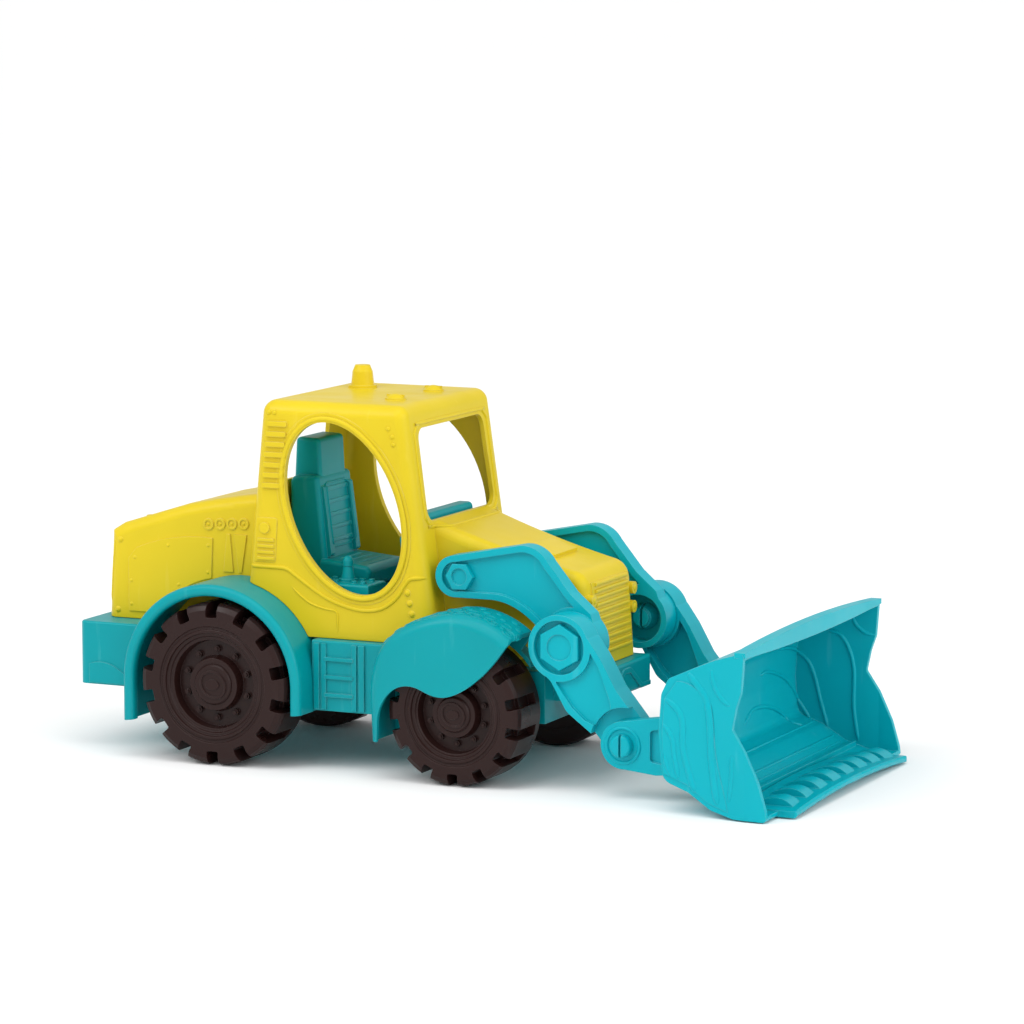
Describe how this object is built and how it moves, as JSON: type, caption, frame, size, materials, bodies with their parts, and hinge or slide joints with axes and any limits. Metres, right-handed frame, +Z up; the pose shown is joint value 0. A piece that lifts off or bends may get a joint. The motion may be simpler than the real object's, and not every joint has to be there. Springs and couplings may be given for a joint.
{
  "type": "toy wheeled loader",
  "caption": "Sandbox-size toy front-end loader: cab with open windows, free-rolling wheels, two-stage lifting arms and a tipping bucket.",
  "frame": {"origin": "on the ground under the middle of the bounding box", "axes": "+X forwards, the way the toy drives and the bucket points; +Y to its left; +Z up"},
  "size_m": [0.468, 0.217, 0.2254],
  "materials": {
    "yellow_plastic": "satin moulded polypropylene",
    "teal_plastic": "satin moulded polypropylene, deep teal",
    "arm_plastic": "satin moulded polypropylene, bright teal",
    "wheel_plastic": "satin dark brown moulded plastic",
    "steel": "plain zinc-plated steel"
  },
  "bodies": {
    "chassis": {"chassis_frame": "teal_plastic", "base_plate": "teal_plastic", "base_screws": "steel", "body_screws": "steel", "body_shell": "yellow_plastic", "cab_interior": "teal_plastic", "dashboard": "teal_plastic", "seat": "teal_plastic", "rear_fender_left": "teal_plastic", "rear_fender_right": "teal_plastic", "front_fender_left": "teal_plastic", "front_fender_right": "teal_plastic"},
    "rear_wheels": {"rear_axle": "steel", "rear_wheel_left": "wheel_plastic", "rear_wheel_right": "wheel_plastic", "rear_wheel_back_left": "wheel_plastic", "rear_wheel_back_right": "wheel_plastic", "rear_hub_cap_left": "wheel_plastic", "rear_hub_cap_right": "wheel_plastic"},
    "front_wheels": {"front_axle": "steel", "front_wheel_left": "wheel_plastic", "front_wheel_right": "wheel_plastic", "front_wheel_back_left": "wheel_plastic", "front_wheel_back_right": "wheel_plastic", "front_hub_cap_left": "wheel_plastic", "front_hub_cap_right": "wheel_plastic"},
    "boom": {"boom_shaft": "steel", "upper_arm_left": "arm_plastic", "upper_arm_right": "arm_plastic", "pivot_cap_left": "arm_plastic", "pivot_cap_right": "arm_plastic"},
    "dipper": {"lower_arm_left": "arm_plastic", "lower_arm_right": "arm_plastic", "elbow_pin_left": "arm_plastic", "elbow_pin_right": "arm_plastic", "tip_pin_left": "arm_plastic", "tip_pin_right": "arm_plastic"},
    "bucket": {"bucket": "arm_plastic"}
  },
  "joints": [
    {"name": "rear_axle_spin", "type": "hinge", "parent": "chassis", "child": "rear_wheels", "pos_m": [-0.1305, 0, 0.0475], "axis": [0, 1, 0], "continuous": true},
    {"name": "front_axle_spin", "type": "hinge", "parent": "chassis", "child": "front_wheels", "pos_m": [0.0236, 0, 0.0413], "axis": [0, 1, 0], "continuous": true},
    {"name": "boom_lift", "type": "hinge", "parent": "chassis", "child": "boom", "pos_m": [0.0133, 0, 0.1155], "axis": [0, -1, 0], "range_deg": [0, 85]},
    {"name": "elbow", "type": "hinge", "parent": "boom", "child": "dipper", "pos_m": [0.0841, 0, 0.0822], "axis": [0, -1, 0], "range_deg": [0, 30]},
    {"name": "bucket_tilt", "type": "hinge", "parent": "dipper", "child": "bucket", "pos_m": [0.1245, 0, 0.03], "axis": [0, -1, 0], "range_deg": [-85, 30]}
  ]
}
